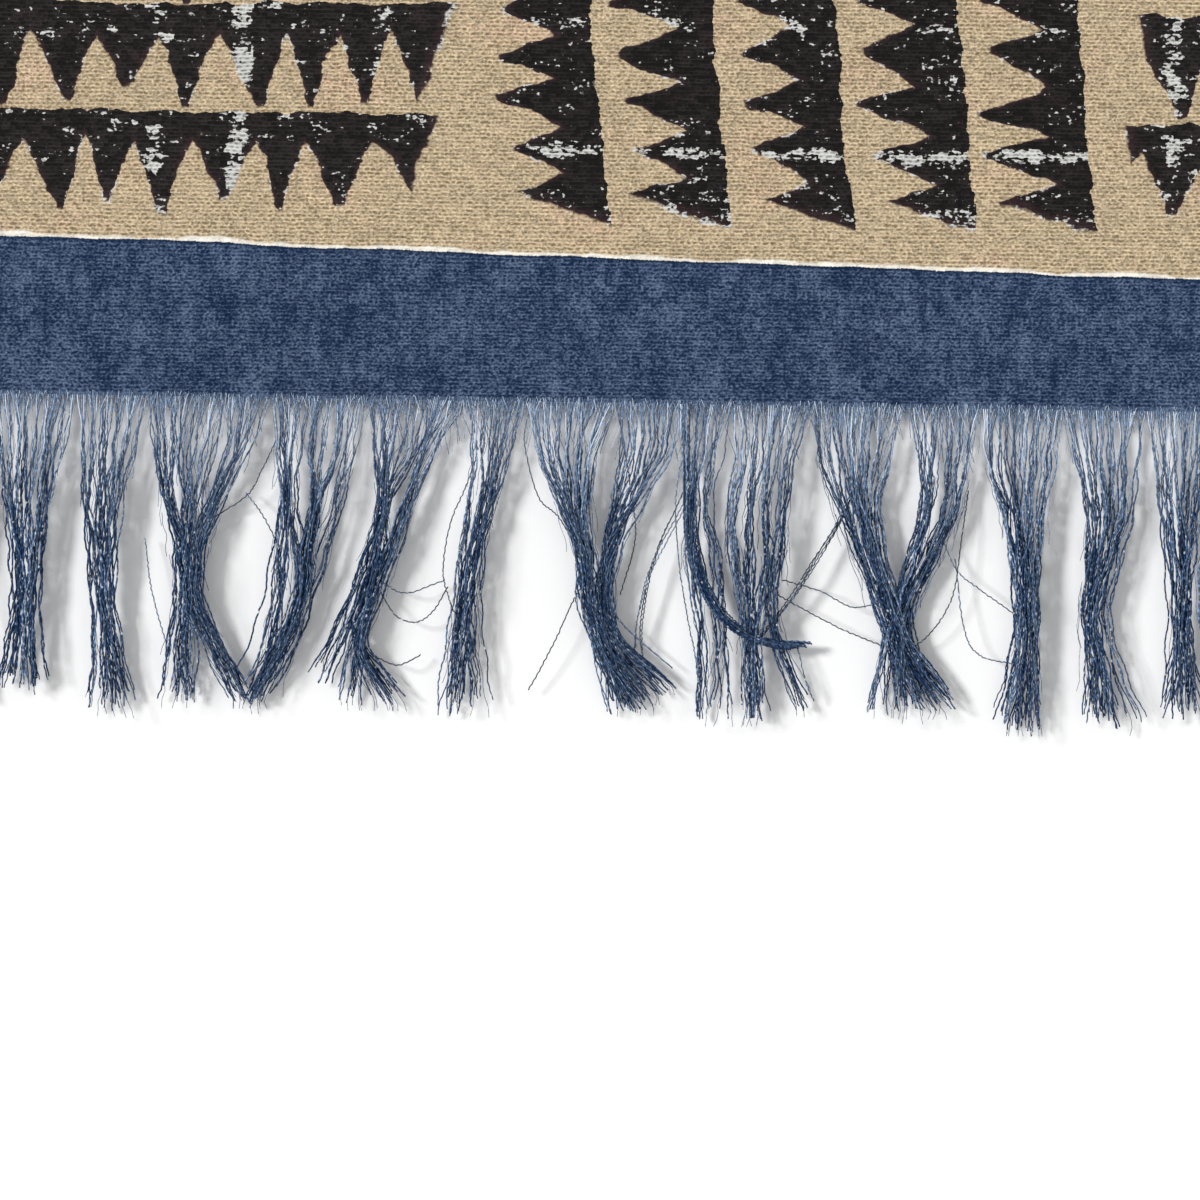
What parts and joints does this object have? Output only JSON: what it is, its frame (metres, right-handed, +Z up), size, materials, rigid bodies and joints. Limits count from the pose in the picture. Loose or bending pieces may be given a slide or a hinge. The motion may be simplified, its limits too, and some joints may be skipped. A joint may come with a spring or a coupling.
{
  "type": "stole",
  "caption": "Long woven stole laid flat, block-printed in brown combs on tan, with a plain blue band and a loose yarn fringe at each end.",
  "frame": {"origin": "middle of the laid stole's footprint, on the surface that it rests on", "axes": "+Y along the stole's length, away from the pictured end, +X across its width, +Z up out of the surface"},
  "size_m": [0.5, 1.8296, 0.0062],
  "materials": {
    "printed_cloth": "matte",
    "blue_yarn": "matte"
  },
  "bodies": {
    "root": {"cloth": "printed_cloth", "fringe_near": "blue_yarn", "fringe_far": "blue_yarn"}
  },
  "joints": []
}
